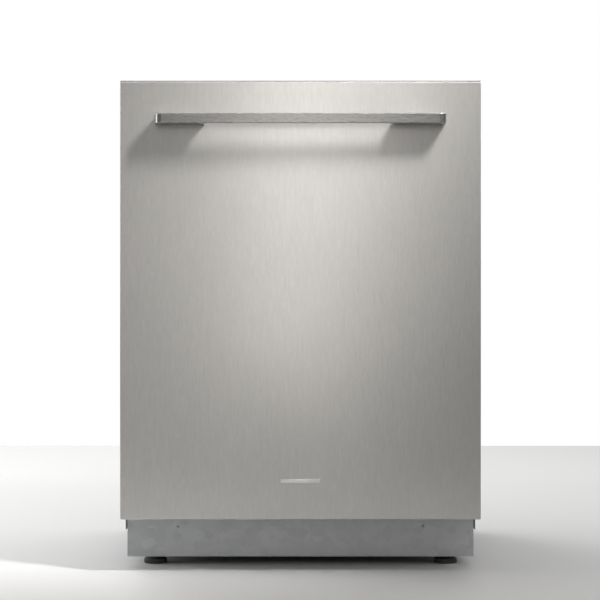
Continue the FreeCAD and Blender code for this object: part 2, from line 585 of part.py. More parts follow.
# ---- the whole machine -----------------------------------------------------------------------
os.makedirs("parts", exist_ok=True)
door_skin()
door_frame()
door_liner()
control_strip()
handle()
hinges()
door_springs()
dispenser()
door_inside()
tub()
gasket()
feed_pipe()
spray_arm("lower_spray_arm", 224.0, 40.0, (177.0, 187.0), False)
spray_arm("upper_spray_arm", 215.0, 36.0, (UPPER_Z - 16.0, UPPER_Z - 7.0), True)
spray_arm("top_spray_arm", 120.0, 34.0, (752.0, 761.0), True)
rack_rails()
base_tray()
kick_plate()
feet()
sump()
filters()
pumps()
drain_and_inlet()
softener()
side_panels()
insulation()
frame_rails()
air_break()
lower_rack()
fold_tines()
upper_rack()
cutlery_tray()
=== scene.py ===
import bmesh
import bpy
import json
import math
from mathutils import Matrix, Vector


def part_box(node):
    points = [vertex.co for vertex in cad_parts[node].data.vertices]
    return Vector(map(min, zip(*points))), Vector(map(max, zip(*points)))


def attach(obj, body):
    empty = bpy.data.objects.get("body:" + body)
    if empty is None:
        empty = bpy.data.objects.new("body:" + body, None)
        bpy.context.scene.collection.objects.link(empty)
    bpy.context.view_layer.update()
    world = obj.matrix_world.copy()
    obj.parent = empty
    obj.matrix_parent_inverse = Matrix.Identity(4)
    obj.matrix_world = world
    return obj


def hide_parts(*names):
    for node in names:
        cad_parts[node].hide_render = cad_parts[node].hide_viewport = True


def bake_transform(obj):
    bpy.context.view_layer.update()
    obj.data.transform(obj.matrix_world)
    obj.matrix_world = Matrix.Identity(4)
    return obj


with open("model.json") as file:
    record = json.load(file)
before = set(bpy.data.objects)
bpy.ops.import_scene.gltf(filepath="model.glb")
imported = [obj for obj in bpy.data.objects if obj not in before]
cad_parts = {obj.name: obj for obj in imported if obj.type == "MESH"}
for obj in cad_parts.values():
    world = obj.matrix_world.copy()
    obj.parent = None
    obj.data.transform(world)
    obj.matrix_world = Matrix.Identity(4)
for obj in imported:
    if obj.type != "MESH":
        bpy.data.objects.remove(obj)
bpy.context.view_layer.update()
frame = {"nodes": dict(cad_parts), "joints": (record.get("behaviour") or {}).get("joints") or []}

MM = 0.001
X, Y, Z = Vector((1, 0, 0)), Vector((0, 1, 0)), Vector((0, 0, 1))

# ---- places read from the frame ----
PANEL_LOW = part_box("door_skin")[0]
LINER_LOW, LINER_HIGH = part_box("door_liner")
STRIP_LOW, STRIP_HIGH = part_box("control_strip")
TUB_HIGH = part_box("tub_shell")[1]
SIDE_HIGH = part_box("side_panel_right")[1]
HINGE = Vector(next(j for j in frame["joints"] if j["name"] == "appliance_door")["pos_m"])
RACK_HALF = 249 * MM
RACK_WIRE = 1.9 * MM
RIM_WIRE = 2.5 * MM
SPRAY_Y = 30 * MM
SCREW = 3.4 * MM


# ---- shapes ----
def bevelled(bm, edges, width, steps=2):
    bmesh.ops.bevel(bm, geom=edges, offset=width, offset_type="OFFSET", segments=steps,
                    profile=0.5, affect="EDGES", material=-1, clamp_overlap=True)


def block(bm, low, high, bevel=0.0, steps=2, finish=0):
    """Adds a box between two corners, with its edges rounded."""
    low, high = Vector(low), Vector(high)
    place = Matrix.Translation((low + high) / 2) @ Matrix.Diagonal((*(high - low), 1))
    made = bmesh.ops.create_cube(bm, size=1, matrix=place)["verts"]
    faces = {f for v in made for f in v.link_faces}
    for f in faces:
        f.material_index = finish
    if bevel:
        bevelled(bm, list({e for v in made for e in v.link_edges}), bevel, steps)


def turned(axis):
    """The turn that takes +Z to an axis."""
    return Z.rotation_difference(Vector(axis)).to_matrix().to_4x4()


def rod(bm, start, end, radius, sides=20, end_radius=None, finish=0):
    """Adds a round bar, or a cone where end_radius differs."""
    start, end = Vector(start), Vector(end)
    place = Matrix.Translation((start + end) / 2) @ turned(end - start)
    made = bmesh.ops.create_cone(bm, cap_ends=True, segments=sides, radius1=radius,
                                 radius2=radius if end_radius is None else end_radius,
                                 depth=(end - start).length, matrix=place)["verts"]
    for f in {f for v in made for f in v.link_faces}:
        f.material_index = finish
    return made


def lathe(bm, profile, centre, axis, steps=32, finish=0):
    """Spins (radius, height) points about an axis through centre into a closed body."""
    place = Matrix.Translation(Vector(centre)) @ turned(axis)
    row = [bm.verts.new(place @ Vector((r, 0, h))) for r, h in profile]
    edges = [bm.edges.new(pair) for pair in zip(row, row[1:])]
    before = set(bm.faces)
    bmesh.ops.spin(bm, geom=row + edges, cent=centre, axis=Vector(axis), angle=2 * math.pi,
                   steps=steps, use_merge=True)
    made = [f for f in bm.faces if f not in before]
    for f in made:
        f.material_index = finish
    bmesh.ops.remove_doubles(bm, verts=list({v for f in made for v in f.verts}), dist=1e-6)


def placed(name, data):
    """A new object in the scene that shows some data."""
    made = bpy.data.objects.new(name, data)
    bpy.context.scene.collection.objects.link(made)
    return made


def meshed(name, bm):
    """Makes a bmesh into an object, with its faces turned outward."""
    bmesh.ops.recalc_face_normals(bm, faces=bm.faces)
    mesh = bpy.data.meshes.new(name)
    bm.to_mesh(mesh)
    bm.free()
    return placed(name, mesh)


def piece(name, bm, body, finishes, smooth=35, replaces=()):
    """Makes a bmesh into a named piece that rides on a body."""
    return dressed(meshed(name, bm), body, finishes, smooth, replaces)


def dressed(made, body, finishes, smooth=35, replaces=()):
    for finish in finishes if isinstance(finishes, list) else [finishes]:
        made.data.materials.append(finish)
    if smooth and made.type == "MESH":
        made.data.shade_smooth()
        made.data.set_sharp_from_angle(angle=math.radians(smooth))
    if body:
        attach(made, body)
    if replaces:
        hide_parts(*replaces)
    return made


def bent(points, radius, steps=4):
    """The points of a wire with each inner corner rounded to a radius."""
    path = [Vector(points[0])]
    for before, corner, after in zip(points, points[1:], points[2:]):
        corner = Vector(corner)
        back, on = (Vector(before) - corner).normalized(), (Vector(after) - corner).normalized()
        half = back.angle(on) / 2
        if half > math.radians(89):
            path.append(corner)
            continue
        centre = corner + (back + on).normalized() * radius / math.sin(half)
        first = corner + back * radius / math.tan(half) - centre
        last = corner + on * radius / math.tan(half) - centre
        for n in range(steps + 1):
            path.append(centre + first.lerp(last, n / steps).normalized() * radius)
    path.append(Vector(points[-1]))
    return path


def wires(name, paths, radius, body, finish, closed=False, replaces=()):
    """Makes round wires from paths, as one piece."""
    curve = bpy.data.curves.new(name, "CURVE")
    curve.dimensions = "3D"
    curve.bevel_depth = radius
    curve.bevel_resolution = 1
    curve.use_fill_caps = True
    for path in paths:
        spline = curve.splines.new("POLY")
        spline.points.add(len(path) - 1)
        for point, place in zip(spline.points, path):
            point.co = (*place, 1)
        spline.use_cyclic_u = closed
    drawn = placed(name, curve)
    mesh = bpy.data.meshes.new_from_object(drawn)
    bpy.data.objects.remove(drawn)
    bpy.data.curves.remove(curve)
    mesh.name = name
    return dressed(placed(name, mesh), body, finish, 60, replaces)


def coated(name, paths, radius, body, closed=False, replaces=()):
    """Coated rack wires."""
    return wires(name, paths, radius, body, WIRE_COAT, closed, replaces)


def mm(*sizes):
    return [size * MM for size in sizes]


def apart(side, near, far):
    """Two places across X on one side of the machine, the lower one first."""
    return sorted((side * near, side * far))


def upright(name):
    """The corners of a round upright node, the foot of its axis, and its radius."""
    low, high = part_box(name)
    return low, high, Vector(((low.x + high.x) / 2, (low.y + high.y) / 2, 0)), (high.x - low.x) / 2


def spread(low, high, pitch):
    """Even places from low to high, about a pitch apart."""
    count = max(1, round((high - low) / pitch))
    return [low + (high - low) * n / count for n in range(count + 1)]


# ---- surface effects ----
def node(tree, kind, **settings):
    made = tree.nodes.new(kind)
    for key, value in settings.items():
        setattr(made, key, value)
    return made


def sums(tree, operation, first, second, **settings):
    """A node that works out one number from two values or sockets."""
    made = node(tree, "ShaderNodeMath", operation=operation, **settings)
    for socket, source in zip(made.inputs, (first, second)):
        if isinstance(source, bpy.types.NodeSocket):
            tree.links.new(source, socket)
        else:
            socket.default_value = source
    return made.outputs[0]


def feed(tree, target, sources):
    """Sets or links a node's inputs by name."""
    for name, source in sources.items():
        if isinstance(source, bpy.types.NodeSocket):
            tree.links.new(source, target.inputs[name])
        else:
            target.inputs[name].default_value = source
    return target


def effect(name, inputs, outputs):
    """An empty shader group with a vector, named values in, and named sockets out."""
    tree = bpy.data.node_groups.new(name, "ShaderNodeTree")
    tree.interface.new_socket("Vector", in_out="INPUT", socket_type="NodeSocketVector")
    for label, value in inputs.items():
        made = tree.interface.new_socket(label, in_out="INPUT", socket_type="NodeSocketFloat")
        made.default_value = value
    for label in outputs:
        tree.interface.new_socket(label, in_out="OUTPUT", socket_type="NodeSocketFloat")
    return tree, node(tree, "NodeGroupInput"), node(tree, "NodeGroupOutput")


def brushing_effect():
    """Drawn-out scratches: Vector is already stretched along the brushing."""
    tree, given, out = effect("brushing", {"Fine": 1.0, "Coarse": 0.5}, ["Streak", "Height"])
    fine = feed(tree, node(tree, "ShaderNodeTexNoise"),
                {"Vector": given.outputs["Vector"], "Scale": 1.0, "Detail": 4.0, "Roughness": 0.65})
    wide = feed(tree, node(tree, "ShaderNodeTexNoise"),
                {"Vector": given.outputs["Vector"], "Scale": 0.31, "Detail": 2.0})
    parts = [sums(tree, "MULTIPLY", sums(tree, "SUBTRACT", source.outputs["Fac"], 0.5),
                  given.outputs[weight]) for source, weight in ((fine, "Fine"), (wide, "Coarse"))]
    lifted = sums(tree, "ADD", sums(tree, "ADD", *parts), 0.5, use_clamp=True)
    tree.links.new(lifted, out.inputs["Streak"])
    tree.links.new(fine.outputs["Fac"], out.inputs["Height"])
    return tree


def cloud_effect():
    """Broad soft patches, as of handling, dust and uneven rolling."""
    tree, given, out = effect("clouds", {"Size": 8.0, "Low": 0.35, "High": 0.7}, ["Patch"])
    noise = feed(tree, node(tree, "ShaderNodeTexNoise"),
                 {"Vector": given.outputs["Vector"], "Scale": given.outputs["Size"],
                  "Detail": 3.0, "Roughness": 0.55})
    spread_out = feed(tree, node(tree, "ShaderNodeMapRange"),
                      {"Value": noise.outputs["Fac"], "From Min": given.outputs["Low"],
                       "From Max": given.outputs["High"]})
    tree.links.new(spread_out.outputs["Result"], out.inputs["Patch"])
    return tree


def cells_of(tree, given, feature="F1", **values):
    return feed(tree, node(tree, "ShaderNodeTexVoronoi", feature=feature),
                {"Vector": given.outputs["Vector"], "Scale": given.outputs["Size"], **values})


def grain_effect():
    """The fine leather-like grain of moulded plastic."""
    tree, given, out = effect("grain", {"Size": 900.0}, ["Height"])
    cells = cells_of(tree, given, "SMOOTH_F1")
    tree.links.new(cells.outputs["Distance"], out.inputs["Height"])
    return tree


def spangle_effect():
    """The crystal flakes of zinc on galvanised sheet."""
    tree, given, out = effect("spangle", {"Size": 90.0}, ["Flake"])
    cells = cells_of(tree, given)
    bright = feed(tree, node(tree, "ShaderNodeSeparateColor"), {"Color": cells.outputs["Color"]})
    tree.links.new(bright.outputs["Red"], out.inputs["Flake"])
    return tree


def hole_effect():
    """A staggered field of round holes, seen along Z."""
    tree, given, out = effect("holes", {"Size": 260.0, "Edge": 0.33}, ["Hole"])
    cells = cells_of(tree, given, Randomness=0.0)
    inside = sums(tree, "LESS_THAN", cells.outputs["Distance"], given.outputs["Edge"])
    tree.links.new(inside, out.inputs["Hole"])
    return tree


BRUSHING = brushing_effect()
CLOUDS = cloud_effect()
GRAIN = grain_effect()
SPANGLE = spangle_effect()
HOLES = hole_effect()


class Finish:
    """A material under construction, with object coordinates and a Principled shader."""

    def __init__(self, name, metallic=0.0, **fixed):
        self.material = bpy.data.materials.new(name)
        self.material.use_nodes = True
        self.tree = self.material.node_tree
        self.shader = self.tree.nodes["Principled BSDF"]
        feed(self.tree, self.shader, {"Metallic": metallic, **fixed})
        self.place = node(self.tree, "ShaderNodeTexCoord").outputs["Object"]

    def stretched(self, scale):
        made = node(self.tree, "ShaderNodeMapping")
        return feed(self.tree, made, {"Vector": self.place, "Scale": scale}).outputs["Vector"]

    def effect(self, group, vector=None, **values):
        made = node(self.tree, "ShaderNodeGroup", node_tree=group)
        feed(self.tree, made, {"Vector": vector or self.place, **values})
        return made.outputs

    def cloud(self, size):
        return self.effect(CLOUDS, Size=size)["Patch"]

    def colour(self, mask, dark, light):
        mix = node(self.tree, "ShaderNodeMix", data_type="RGBA")
        feed(self.tree, mix, {"Factor": mask, "A": (*dark, 1), "B": (*light, 1)})
        return mix.outputs["Result"]

    def value(self, mask, low, high):
        made = node(self.tree, "ShaderNodeMapRange")
        feed(self.tree, made, {"Value": mask, "To Min": low, "To Max": high})
        return made.outputs["Result"]

    def combined(self, first, second, share=0.5):
        mix = node(self.tree, "ShaderNodeMix", data_type="FLOAT")
        feed(self.tree, mix, {"Factor": share, "A": first, "B": second})
        return mix.outputs["Result"]

    def bump(self, height, strength, depth):
        made = node(self.tree, "ShaderNodeBump")
        feed(self.tree, made, {"Height": height, "Strength": strength, "Distance": depth})
        self.tree.links.new(made.outputs["Normal"], self.shader.inputs["Normal"])

    def done(self, colour, roughness):
        feed(self.tree, self.shader, {"Base Color": colour, "Roughness": roughness})
        return self.material


def tones(colour, spread_by):
    return ([c * (1 - spread_by) for c in colour], [min(1, c * (1 + spread_by)) for c in colour])


def brushed(name, colour, scale, roughness, contrast, depth=0.00002, coarse=0.5, metallic=1.0):
    finish = Finish(name, metallic=metallic)
    marks = finish.effect(BRUSHING, finish.stretched(scale), Fine=1.0, Coarse=coarse)
    patch = finish.cloud(5.0)
    if depth:
        finish.bump(marks["Height"], 0.25, depth)
    tone = finish.combined(marks["Streak"], patch, 0.12)
    even = isinstance(roughness, float)
    return finish.done(finish.colour(tone, *tones(colour, contrast)),
                       roughness if even else finish.value(tone, *roughness))


def moulded(name, colour, roughness, grain=900.0, contrast=0.06, depth=0.00004):
    finish = Finish(name)
    patch = finish.cloud(14.0)
    height = finish.effect(GRAIN, Size=grain)["Height"]
    finish.bump(height, 0.2, depth)
    return finish.done(finish.colour(patch, *tones(colour, contrast)),
                       finish.value(finish.combined(patch, height, 0.4), *roughness))


def galvanised_sheet():
    finish = Finish("galvanised_sheet", metallic=0.85)
    flake = finish.effect(SPANGLE, Size=70.0)["Flake"]
    patch = finish.cloud(4.0)
    tone = finish.combined(flake, patch, 0.45)
    finish.bump(flake, 0.06, 0.0002)
    return finish.done(finish.colour(tone, (0.40, 0.41, 0.42), (0.56, 0.57, 0.58)),
                       finish.value(tone, 0.34, 0.52))


def perforated_steel():
    finish = Finish("perforated_steel", metallic=1.0)
    hole = finish.effect(HOLES, Size=230.0, Edge=0.34)["Hole"]
    patch = finish.cloud(12.0)
    finish.bump(hole, -0.6, 0.0006)
    # The holes are painted near black: painted shade standing in for the dark seen through them.
    return finish.done(finish.colour(hole, (0.62, 0.62, 0.62), (0.03, 0.03, 0.03)),
                       finish.value(patch, 0.25, 0.38))


def pressed_felt():
    finish = Finish("pressed_felt")
    strands = finish.effect(BRUSHING, finish.stretched((1500, 500, 1500)), Fine=1.2, Coarse=0.9)
    patch = finish.cloud(70.0)
    finish.bump(strands["Height"], 0.9, 0.0012)
    tone = finish.combined(strands["Streak"], patch, 0.3)
    return finish.done(finish.colour(tone, (0.07, 0.07, 0.075), (0.30, 0.295, 0.29)),
                       finish.value(tone, 0.85, 1.0))


def circuit_board():
    finish = Finish("circuit_board", **{"Coat Weight": 0.4})
    lanes = finish.effect(HOLES, Size=190.0, Edge=0.22)["Hole"]
    finish.bump(lanes, 0.3, 0.0002)
    return finish.done(finish.colour(lanes, (0.02, 0.16, 0.06), (0.42, 0.36, 0.16)),
                       finish.value(lanes, 0.35, 0.25))


def smoked_glass():
    finish = Finish("smoked_glass", **{"Coat Weight": 0.5, "Coat Roughness": 0.25})
    patch = finish.cloud(40.0)
    return finish.done(finish.colour(patch, (0.010, 0.010, 0.012), (0.018, 0.018, 0.020)),
                       finish.value(patch, 0.22, 0.30))


def seal_rubber():
    finish = Finish("seal_rubber")
    patch = finish.cloud(30.0)
    height = finish.effect(GRAIN, Size=1500.0)["Height"]
    finish.bump(height, 0.35, 0.00006)
    return finish.done(finish.colour(patch, (0.020, 0.020, 0.021), (0.055, 0.054, 0.053)),
                       finish.value(patch, 0.52, 0.72))


def lamp_lens():
    finish = Finish("lamp_lens", **{"Emission Strength": 0.6})
    patch = finish.cloud(60.0)
    finish.shader.inputs["Emission Color"].default_value = (0.35, 0.75, 1.0, 1)
    return finish.done(finish.colour(patch, (0.35, 0.6, 0.75), (0.45, 0.7, 0.85)),
                       finish.value(patch, 0.2, 0.3))


# A brushed finish is stretched least along its brushing.
PANEL_STEEL = brushed("panel_steel", (0.60, 0.59, 0.57), (560, 560, 60), 0.26, 0.17,
                      depth=0, coarse=0.3, metallic=0.6)
HANDLE_STEEL = brushed("handle_steel", (0.44, 0.435, 0.43), (40, 900, 900), (0.22, 0.34), 0.34,
                       depth=0.000004)
BADGE = brushed("badge_satin", (0.93, 0.93, 0.92), (60, 900, 900), (0.35, 0.45), 0.02)
TUB_STEEL = brushed("tub_steel", (0.70, 0.70, 0.69), (30, 30, 420), (0.22, 0.30), 0.05, 0.000005)
LINER_STEEL = brushed("liner_steel", (0.70, 0.70, 0.69), (420, 420, 24), (0.22, 0.30), 0.05,
                      0.000005)
RAIL_STEEL = brushed("rail_steel", (0.74, 0.74, 0.75), (700, 20, 700), (0.15, 0.26), 0.05)
SPRING_STEEL = brushed("spring_steel", (0.42, 0.42, 0.43), (300, 300, 300), (0.28, 0.42), 0.12)
SCREW_STEEL = brushed("screw_steel", (0.66, 0.66, 0.66), (500, 500, 500), (0.22, 0.34), 0.06)
GALVANISED, PERFORATED = galvanised_sheet(), perforated_steel()
FELT, BOARD, GLASS, RUBBER, LAMP = (pressed_felt(), circuit_board(), smoked_glass(),
                                    seal_rubber(), lamp_lens())
STRIP_TRIM = brushed("strip_trim", (0.36, 0.355, 0.35), (30, 700, 700), (0.34, 0.44), 0.06)
CAP_PLASTIC = moulded("cap_plastic", (0.10, 0.10, 0.105), (0.42, 0.55))
BUTTON_PLASTIC = moulded("button_plastic", (0.62, 0.62, 0.61), (0.28, 0.36), 1500)
GREY_PLASTIC = moulded("grey_plastic", (0.33, 0.34, 0.36), (0.42, 0.58))
LID_PLASTIC = moulded("lid_plastic", (0.70, 0.71, 0.72), (0.22, 0.32), 1600)
# Near-black moulded plastic of the base tray; the same finish also serves as painted shade in screw
# recesses, wheel holes and spray nozzle openings.
DARK_PLASTIC_AND_SHADE = moulded("base_plastic", (0.035, 0.035, 0.038), (0.48, 0.66), 500, 0.2)
PUMP_PLASTIC = moulded("pump_plastic", (0.74, 0.73, 0.70), (0.36, 0.5))
WIRE_COAT = moulded("wire_coat", (0.50, 0.51, 0.53), (0.30, 0.44), 700, 0.04)
WHEEL_PLASTIC = moulded("wheel_plastic", (0.24, 0.25, 0.27), (0.38, 0.52))

CAD_FINISHES = [
    (PANEL_STEEL, ["door_skin"]),
    (HANDLE_STEEL, ["handle_bar", "handle_feet"]),
    (STRIP_TRIM, ["control_strip"]),
    (CAP_PLASTIC, ["strip_end_caps"]),
    (TUB_STEEL, ["tub_shell", "tub_floor"]),
    (LINER_STEEL, ["door_liner"]),
    (GALVANISED, ["side_panel_left", "side_panel_right", "kick_plate", "front_top_rail",
                  "rear_frame", "door_frame", "hinge_arms", "hinge_brackets", "latch_strike"]),
    (RAIL_STEEL, ["rack_rails", "middle_rails"]),
    (GREY_PLASTIC, ["dispenser_body", "latch_housing", "feed_pipe"]),
    (DARK_PLASTIC_AND_SHADE, ["base_tray", "sump", "mains_gland"]),
    (PUMP_PLASTIC, ["circulation_pump", "pump_impeller", "drain_pump", "inlet_valve",
                    "water_softener", "air_break_chamber"]),
    (BOARD, ["control_board"]),
    (PERFORATED, ["filter_plate"]),
    (RUBBER, ["door_bottom_seal"]),
]
for finish, nodes in CAD_FINISHES:
    for name in nodes:
        made = frame["nodes"][name]
        made.data.materials.clear()
        made.data.materials.append(finish)
        made.data.shade_smooth()
        made.data.set_sharp_from_angle(angle=math.radians(30))
for name, width in (("handle_bar", 1.5), ("handle_feet", 0.8)):
    edge = frame["nodes"][name].modifiers.new("softened_edges", "BEVEL")
    edge.width, edge.segments, edge.limit_method = width * MM, 3, "ANGLE"


# ---- door ----
def badge():
    """A plain blank plate low on the panel."""
    bm = bmesh.new()
    face = PANEL_LOW.y
    block(bm, (-33 * MM, face - 0.5 * MM, 150.5 * MM), (33 * MM, face + 0.3 * MM, 157 * MM),
          0.3 * MM)
    piece("badge", bm, "door", BADGE)


def display_window():
    """A smoked window in the control strip, with a row of small lamps behind its edge."""
    bm = bmesh.new()
    top = STRIP_HIGH.z
    middle = (STRIP_LOW.y + STRIP_HIGH.y) / 2 + 6 * MM
    block(bm, (-62 * MM, middle - 11 * MM, top - 1.2 * MM),
          (62 * MM, middle + 11 * MM, top + 0.6 * MM), 0.4 * MM)
    piece("display_window", bm, "door", GLASS)
    bm = bmesh.new()
    for n in range(5):
        x = 84 * MM + n * 14 * MM
        rod(bm, (x, middle, top - MM), (x, middle, top + 0.6 * MM), 1.3 * MM, 16)
    piece("status_lamps", bm, "door", LAMP)


def button(name):
    """A round key with a dished top and a soft edge, in place of the plain one."""
    low, high, centre, _ = upright(name)
    radius, flange = 6.5 * MM, 8.9 * MM
    bm = bmesh.new()
    lathe(bm, [(0, low.z), (flange, low.z), (flange, low.z + 1.8 * MM), (radius, low.z + 2 * MM),
               (radius, high.z - 0.6 * MM), (radius - 0.2 * MM, high.z - 0.2 * MM),
               (radius - 0.8 * MM, high.z), (radius - 2 * MM, high.z - 0.3 * MM),
               (0, high.z - 0.7 * MM)], centre, Z, 36)
    piece(name + "_key", bm, name, BUTTON_PLASTIC, 40, [name])


def liner_beads():
    """Long stiffening beads pressed into the inner door, and its rolled edge."""
    face = LINER_HIGH.y
    half = LINER_HIGH.x
    bm = bmesh.new()
    for x in mm(-200, -140, 140, 200):
        block(bm, (x - 9 * MM, face - 0.5 * MM, 250 * MM), (x + 9 * MM, face + 1.4 * MM, 700 * MM),
              1.3 * MM, 3)
    for z in mm(190, 720):
        block(bm, (-215 * MM, face - 0.5 * MM, z), (215 * MM, face + 1.4 * MM, z + 16 * MM),
              1.3 * MM, 3)
    piece("liner_beads", bm, "door", LINER_STEEL)
    low, high = LINER_LOW.z + 8 * MM, LINER_HIGH.z - 6 * MM
    inset = half - 5 * MM
    edge = [(-inset, face, low), (inset, face, low), (inset, face, high), (-inset, face, high)]
    loop = bent([edge[0], edge[1], edge[2], edge[3], edge[0], edge[1]], 9 * MM)[5:]
    wires("liner_rolled_edge", [loop[:-1]], 1.2 * MM, "door", LINER_STEEL, True)


def dispenser_parts():
    low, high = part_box("dispenser_lid")
    bm = bmesh.new()
    block(bm, low, high, 0.8 * MM, 3)
    block(bm, (low.x + 14 * MM, high.y - 0.4 * MM, high.z - 22 * MM),
          (high.x - 14 * MM, high.y + 1.8 * MM, high.z - 10 * MM), 1.1 * MM, 3)
    for n in range(3):
        z = low.z + (16 + 7 * n) * MM
        block(bm, (low.x + 20 * MM, high.y - 0.4 * MM, z),
              (high.x - 20 * MM, high.y + 0.5 * MM, z + 3 * MM), 0.4 * MM)
    piece("dispenser_sliding_lid", bm, "dispenser_lid", LID_PLASTIC, 35,
          ["dispenser_lid"])
    low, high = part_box("rinse_aid_cap")
    centre = (low + high) / 2
    radius = (high.x - low.x) / 2
    bm = bmesh.new()
    face = high.y - 3 * MM
    lathe(bm, [(0, face + 0.3 * MM), (radius - 5 * MM, face), (radius - 1.2 * MM, face + 0.8 * MM),
               (radius, face - 0.6 * MM), (radius, low.y + 2 * MM), (0, low.y)],
          (centre.x, 0, centre.z), Y, 40)
    block(bm, (centre.x - 2.6 * MM, face - 0.5 * MM, centre.z - radius + 4 * MM),
          (centre.x + 2.6 * MM, high.y, centre.z + radius - 4 * MM), 1.2 * MM, 3)
    piece("rinse_aid_knob", bm, "rinse_aid_cap", LID_PLASTIC, 35, ["rinse_aid_cap"])
    low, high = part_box("dispenser_body")
    bm = bmesh.new()
    ring = 5 * MM
    for a, b in (((low.x, low.z), (high.x, low.z + ring)),
                 ((low.x, high.z - ring), (high.x, high.z)),
                 ((low.x, low.z + ring), (low.x + ring, high.z - ring)),
                 ((high.x - ring, low.z + ring), (high.x, high.z - ring))):
        block(bm, (a[0], high.y - MM, a[1]), (b[0], high.y + 0.2 * MM, b[1]), 0.2 * MM)
    for n in range(6):
        x = centre.x - 20 * MM + n * 8 * MM
        block(bm, (x, high.y - MM, low.z + 14 * MM),
              (x + 3 * MM, high.y + 0.2 * MM, low.z + 34 * MM), 0.2 * MM)
    piece("dispenser_trim", bm, "door", GREY_PLASTIC)


# ---- tub ----
def bulb_seal():
    """The hollow bulb of the tub gasket, up one side, over the top and down the other."""
    low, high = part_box("tub_gasket")
    radius = (high.y - low.y) / 2
    y = (low.y + high.y) / 2
    x, top = high.x - 4 * MM, high.z - 4 * MM
    path = bent([(-x, y, low.z), (-x, y, top), (x, y, top), (x, y, low.z)], 24 * MM, 8)
    wires("gasket_bulb", [path], radius - 0.1 * MM, "root", RUBBER, False,
          ["tub_gasket"])
    lip = [p + Vector((0, radius - MM, 0)) for p in path]
    wires("gasket_lip", [[p + Vector((-3 * MM if p.x > 0 else 3 * MM, 0, -3 * MM)) for p in lip]],
          1.4 * MM, "root", RUBBER)


def tub_beads():
    """Pressed ribs on the tub's walls and roof."""
    inner = TUB_HIGH.x - 12 * MM
    bm = bmesh.new()
    for z in mm(200, 360, 560, 640):
        for side in (-1, 1):
            x = apart(side, inner, inner - 1.6 * MM)
            block(bm, (x[0], -150 * MM, z), (x[1], 250 * MM, z + 14 * MM), 0.75 * MM)
    for x in mm(-180, 180):
        block(bm, (x - 8 * MM, -150 * MM, 793.4 * MM), (x + 8 * MM, 250 * MM, 795 * MM), 0.75 * MM)
    for z in mm(230, 420, 610):
        for x in mm(-190, 60):
            block(bm, (x, 283.4 * MM, z), (x + 130 * MM, 285 * MM, z + 110 * MM), 0.75 * MM)
    piece("tub_beads", bm, "root", TUB_STEEL)


def spray_blade(bm, half, width, low, high, hub_radius, nozzles):
    """A water-filled blade: a flat lens, widest at its hub, with a nozzle row on top drawn as
    near-black discs: painted shade in the nozzle openings.
    """
    tapered, swept, sloped = 0.52, 0.22 * width, 0.35
    centre = Vector((0, SPRAY_Y, (low + high) / 2))
    place = Matrix.Translation(centre) @ Matrix.Diagonal((2 * half, width, high - low, 1))
    made = bmesh.ops.create_cube(bm, size=1, matrix=place)["verts"]
    along = list({e for v in made for e in v.link_edges
                  if abs((e.verts[0].co - e.verts[1].co).x) > half})
    bmesh.ops.subdivide_edges(bm, edges=along, cuts=14)
    for v in bm.verts:
        t = abs(v.co.x) / half
        taper = 1 - tapered * t ** 1.6
        sweep = swept * (1 if v.co.x > 0 else -1) * t * t
        v.co.y = centre.y + (v.co.y - centre.y) * taper + sweep
        v.co.z = centre.z + (v.co.z - centre.z) * (1 - sloped * t)
    edges = [e for e in bm.edges if len(e.link_faces) == 2 and e.calc_face_angle(0) > 0.9]
    bevelled(bm, edges, 0.40 * (high - low), 4)
    # Each nozzle is a near-black disc in the second finish: painted shade standing in for its
    # opening.
    for n in range(nozzles):
        x = -half * 0.9 + 1.8 * half * n / (nozzles - 1)
        if abs(x) < hub_radius:
            continue
        y = centre.y + swept * (x / half) * abs(x / half)
        z = high - sloped * (abs(x) / half) * (high - low) / 2
        rod(bm, (x, y, z - 2 * MM), (x, y, z + 0.5 * MM), 2.6 * MM, 14, finish=1)


def spray_arm(name, width, nozzles, hub_radius=23 * MM):
    low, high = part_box(name)
    bm = bmesh.new()
    spray_blade(bm, high.x, width, low.z + 1.2 * MM, high.z - 1.2 * MM, hub_radius, nozzles)
    lathe(bm, [(0, low.z), (hub_radius - 4 * MM, low.z), (hub_radius, low.z + 2 * MM),
               (hub_radius, high.z - 2.4 * MM), (hub_radius - 3 * MM, high.z - 0.4 * MM),
               (9 * MM, high.z), (8 * MM, high.z - MM), (0, high.z - MM)],
          (0, SPRAY_Y, 0), Z, 40)
    # The second finish is the near-black painted shade of the nozzle openings.
    piece(name + "_blade", bm, name, [GREY_PLASTIC, DARK_PLASTIC_AND_SHADE], 40, [name])


def filter_cup():
    """The fine filter: a perforated cup in a ribbed cage with a bar to turn it by."""
    low, high, centre, radius = upright("filter_cylinder")
    top = high.z - 7 * MM
    bm = bmesh.new()
    lathe(bm, [(0, low.z + 2 * MM), (radius - 2 * MM, low.z + 2 * MM), (radius - 2 * MM, top),
               (radius - 3.2 * MM, top), (radius - 3.2 * MM, low.z + 3 * MM), (0, low.z + 3 * MM)],
          centre, Z, 48)
    cage = 1
    for z in (low.z, (low.z + top) / 2 - 2 * MM, top - 5 * MM):
        lathe(bm, [(radius - 2.2 * MM, z), (radius, z), (radius, z + 5 * MM),
                   (radius - 2.2 * MM, z + 5 * MM), (radius - 2.2 * MM, z)], centre, Z, 48, cage)
    for n in range(12):
        angle = n * math.pi / 6
        at = centre + Vector((math.cos(angle), math.sin(angle), 0)) * (radius - 1.6 * MM)
        rod(bm, at + Z * (low.z + 2 * MM), at + Z * (top - 2 * MM), 1.5 * MM, 10, finish=cage)
    block(bm, (centre.x - radius + MM, centre.y - 3 * MM, top - 10 * MM),
          (centre.x + radius - MM, centre.y + 3 * MM, high.z), 1.4 * MM, 3, cage)
    piece("filter_cup", bm, "filter_cylinder", [PERFORATED, GREY_PLASTIC], 35,
          ["filter_cylinder"])


